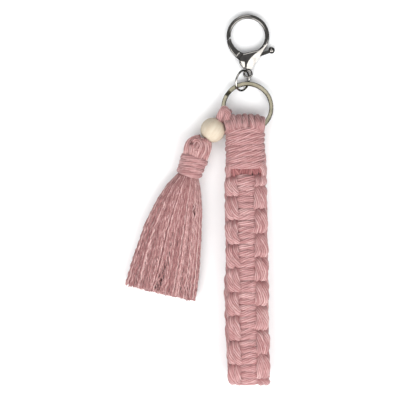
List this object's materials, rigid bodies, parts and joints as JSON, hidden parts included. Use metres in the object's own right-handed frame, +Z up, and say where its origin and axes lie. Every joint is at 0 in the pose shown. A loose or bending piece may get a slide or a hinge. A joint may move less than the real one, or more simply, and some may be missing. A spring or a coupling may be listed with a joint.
{
  "type": "wristlet keychain",
  "caption": "Macrame wrist strap loop on a split ring with a lobster clasp, a wooden bead and a cotton tassel.",
  "frame": {"origin": "under the middle of the object as it lies flat, on the table", "axes": "+Z up from the table, +Y from the wrist loop towards the clasp, +X to the right seen from above"},
  "size_m": [0.0864, 0.2142, 0.024],
  "materials": {
    "strap_cord": "twisted cotton cord, matte",
    "tassel_yarn": "combed cotton strands, matte",
    "bead_wood": "bare sanded beech",
    "ring_steel": "polished nickel plate, warm",
    "wire_nickel": "bright nickel plate",
    "clasp_nickel": "bright nickel plate"
  },
  "bodies": {
    "strap_head": {"wrap_cord": "strap_cord", "head_strands": "strap_cord", "anchor_loop_1": "strap_cord", "anchor_loop_2": "strap_cord", "anchor_loop_3": "strap_cord", "anchor_loop_4": "strap_cord", "anchor_loop_5": "strap_cord", "anchor_loop_6": "strap_cord"},
    "upper_near": {"core_upper_near": "strap_cord", "knot_01": "strap_cord", "knot_02": "strap_cord", "knot_03": "strap_cord", "knot_04": "strap_cord"},
    "upper_far": {"core_upper_far": "strap_cord", "knot_05": "strap_cord", "knot_06": "strap_cord", "knot_07": "strap_cord", "knot_08": "strap_cord"},
    "fold": {"core_fold": "strap_cord", "knot_09": "strap_cord", "knot_10": "strap_cord"},
    "lower_far": {"core_lower_far": "strap_cord", "knot_11": "strap_cord", "knot_12": "strap_cord", "knot_13": "strap_cord", "knot_14": "strap_cord"},
    "lower_near": {"core_lower_near": "strap_cord", "knot_15": "strap_cord", "knot_16": "strap_cord", "knot_17": "strap_cord", "knot_18": "strap_cord"},
    "ring": {"split_ring": "ring_steel"},
    "link": {"jump_ring": "wire_nickel"},
    "eye": {"swivel_eye": "clasp_nickel"},
    "clasp": {"clasp_body": "clasp_nickel", "gate_pivot_pin": "clasp_nickel", "gate_spring": "wire_nickel"},
    "gate": {"clasp_gate": "clasp_nickel"},
    "hanger": {"hanger_cord": "strap_cord"},
    "bead": {"wooden_bead": "bead_wood"},
    "tassel": {"tassel_head": "tassel_yarn", "tassel_binding": "strap_cord", "tassel_skirt": "tassel_yarn"}
  },
  "joints": [
    {"name": "loop_open", "type": "hinge", "parent": "strap_head", "child": "upper_near", "pos_m": [0.02631, 0.01536, 0.0108], "axis": [-0.9999, -0.0161, 0], "range_deg": [0, 30]},
    {"name": "upper_middle_bend", "type": "hinge", "parent": "upper_near", "child": "upper_far", "pos_m": [0.0272, -0.03981, 0.0158], "axis": [-0.9999, -0.0161, 0], "range_deg": [-60, 0]},
    {"name": "fold_top_bend", "type": "hinge", "parent": "upper_far", "child": "fold", "pos_m": [0.02808, -0.09497, 0.0208], "axis": [-0.9999, -0.0161, 0], "range_deg": [0, 30]},
    {"name": "fold_bottom_bend", "type": "hinge", "parent": "fold", "child": "lower_far", "pos_m": [0.02808, -0.09497, 0.0032], "axis": [-0.9999, -0.0161, 0], "range_deg": [0, 30]},
    {"name": "lower_middle_bend", "type": "hinge", "parent": "lower_far", "child": "lower_near", "pos_m": [0.02719, -0.03958, 0.0032], "axis": [-0.9999, -0.0161, 0], "range_deg": [-60, 0]},
    {"name": "ring_pivot", "type": "hinge", "parent": "strap_head", "child": "ring", "pos_m": [0.02588, 0.04216, 0.0072], "axis": [0.9999, 0.0161, 0], "range_deg": [-75, 75]},
    {"name": "link_swing", "type": "hinge", "parent": "ring", "child": "link", "pos_m": [0.0257, 0.06703, 0.00333], "axis": [-0.9929, -0.1175, 0.0158], "range_deg": [-30, 30]},
    {"name": "eye_swing", "type": "hinge", "parent": "link", "child": "eye", "pos_m": [0.02781, 0.07308, 0.0025], "axis": [0.3346, -0.7038, -0.6267], "range_deg": [-30, 18]},
    {"name": "clasp_swivel", "type": "hinge", "parent": "eye", "child": "clasp", "pos_m": [0.02768, 0.07296, 0.0025], "axis": [0, 1, 0], "continuous": true},
    {"name": "gate_open", "type": "hinge", "parent": "clasp", "child": "gate", "pos_m": [0.02581, 0.08092, 0.0025], "axis": [0, 0, -1], "range_deg": [0, 25], "stiffness_Nm_per_rad": 0.01, "springref_deg": -17.19, "deforming": ["gate_spring"]},
    {"name": "tassel_swing", "type": "hinge", "parent": "ring", "child": "hanger", "pos_m": [0.01408, 0.0496, 0.00601], "axis": [0, 0, -1], "range_deg": [0, 40]},
    {"name": "bead_spin", "type": "hinge", "parent": "hanger", "child": "bead", "pos_m": [0.00744, 0.04036, 0.0072], "axis": [-0.5832, -0.8123, 0], "continuous": true},
    {"name": "tassel_bend", "type": "hinge", "parent": "hanger", "child": "tassel", "pos_m": [0.00744, 0.04036, 0.0072], "axis": [0, 0, -1], "range_deg": [-8, 20]}
  ],
  "couplings": [
    {"joint": "upper_middle_bend", "follows": "loop_open", "ratio": -2},
    {"joint": "fold_top_bend", "follows": "loop_open", "ratio": 1},
    {"joint": "fold_bottom_bend", "follows": "loop_open", "ratio": 1},
    {"joint": "lower_middle_bend", "follows": "loop_open", "ratio": -2}
  ]
}
